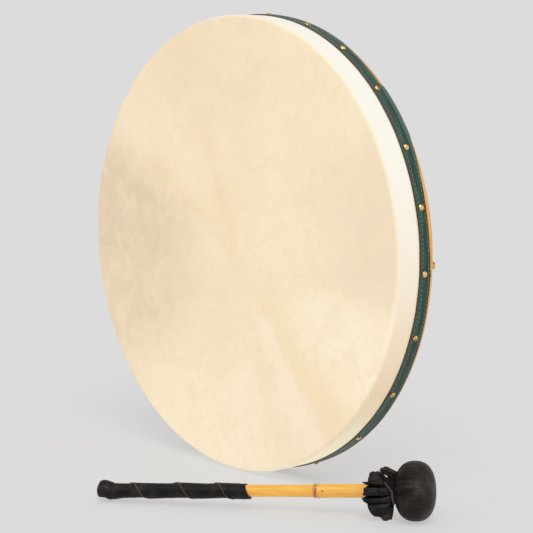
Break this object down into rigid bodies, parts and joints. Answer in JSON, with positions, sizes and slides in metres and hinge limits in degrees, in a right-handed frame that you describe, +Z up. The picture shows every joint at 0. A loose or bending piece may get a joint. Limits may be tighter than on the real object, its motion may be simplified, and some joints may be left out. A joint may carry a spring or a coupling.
{
  "type": "ocean drum",
  "caption": "Shallow round frame drum with a skin on both faces and loose steel balls inside, standing on its rim, with its leather-headed bamboo beater on the floor in front.",
  "frame": {"origin": "on the floor, under the middle of the bounding box of the drum and its beater", "axes": "+Z up; +Y along the drum's axis towards its rear, so the played skin faces -Y; +X to the right for someone who faces the played skin"},
  "size_m": [0.6177, 0.2773, 0.5638],
  "materials": {
    "shell_wood": "sanded and oiled",
    "front_skin": "natural untanned hide, matt",
    "rear_skin": "natural untanned hide, matt",
    "green_tape": "dark green grained imitation leather, stitched along both edges",
    "brass": "polished, lightly aged",
    "hoop_wood": "amber gloss varnish",
    "steel": "polished",
    "bamboo": "lacquered bamboo",
    "black_leather": "soft, creased, slightly glossy",
    "core_wood": "turned, bare",
    "felt": "wool felt",
    "tie_cord": "waxed cord"
  },
  "bodies": {
    "drum": {"shell": "shell_wood", "front_head": "front_skin", "front_collar": "front_skin", "back_head": "rear_skin", "back_collar": "rear_skin", "edge_tape": "green_tape", "tape_tacks": "brass", "rear_hoop": "hoop_wood", "hoop_pins": "brass", "joint_screw": "brass"},
    "balls": {"steel_balls": "steel"},
    "beater": {"bamboo_stick": "bamboo", "grip_wrap": "black_leather", "grip_end_cap": "black_leather", "head_core": "core_wood", "head_padding": "felt", "head_leather": "black_leather", "neck_tie": "tie_cord", "tie_tail": "black_leather"}
  },
  "joints": [
    {"name": "balls_sweep", "type": "hinge", "parent": "drum", "child": "balls", "pos_m": [-0.02705, 0.10497, 0.2814], "axis": [0, 1, 0], "continuous": true},
    {"name": "beater_away", "type": "slide", "parent": "drum", "child": "beater", "axis": [0.7559, -0.6547, 0], "range_m": [0, 0.25]}
  ]
}
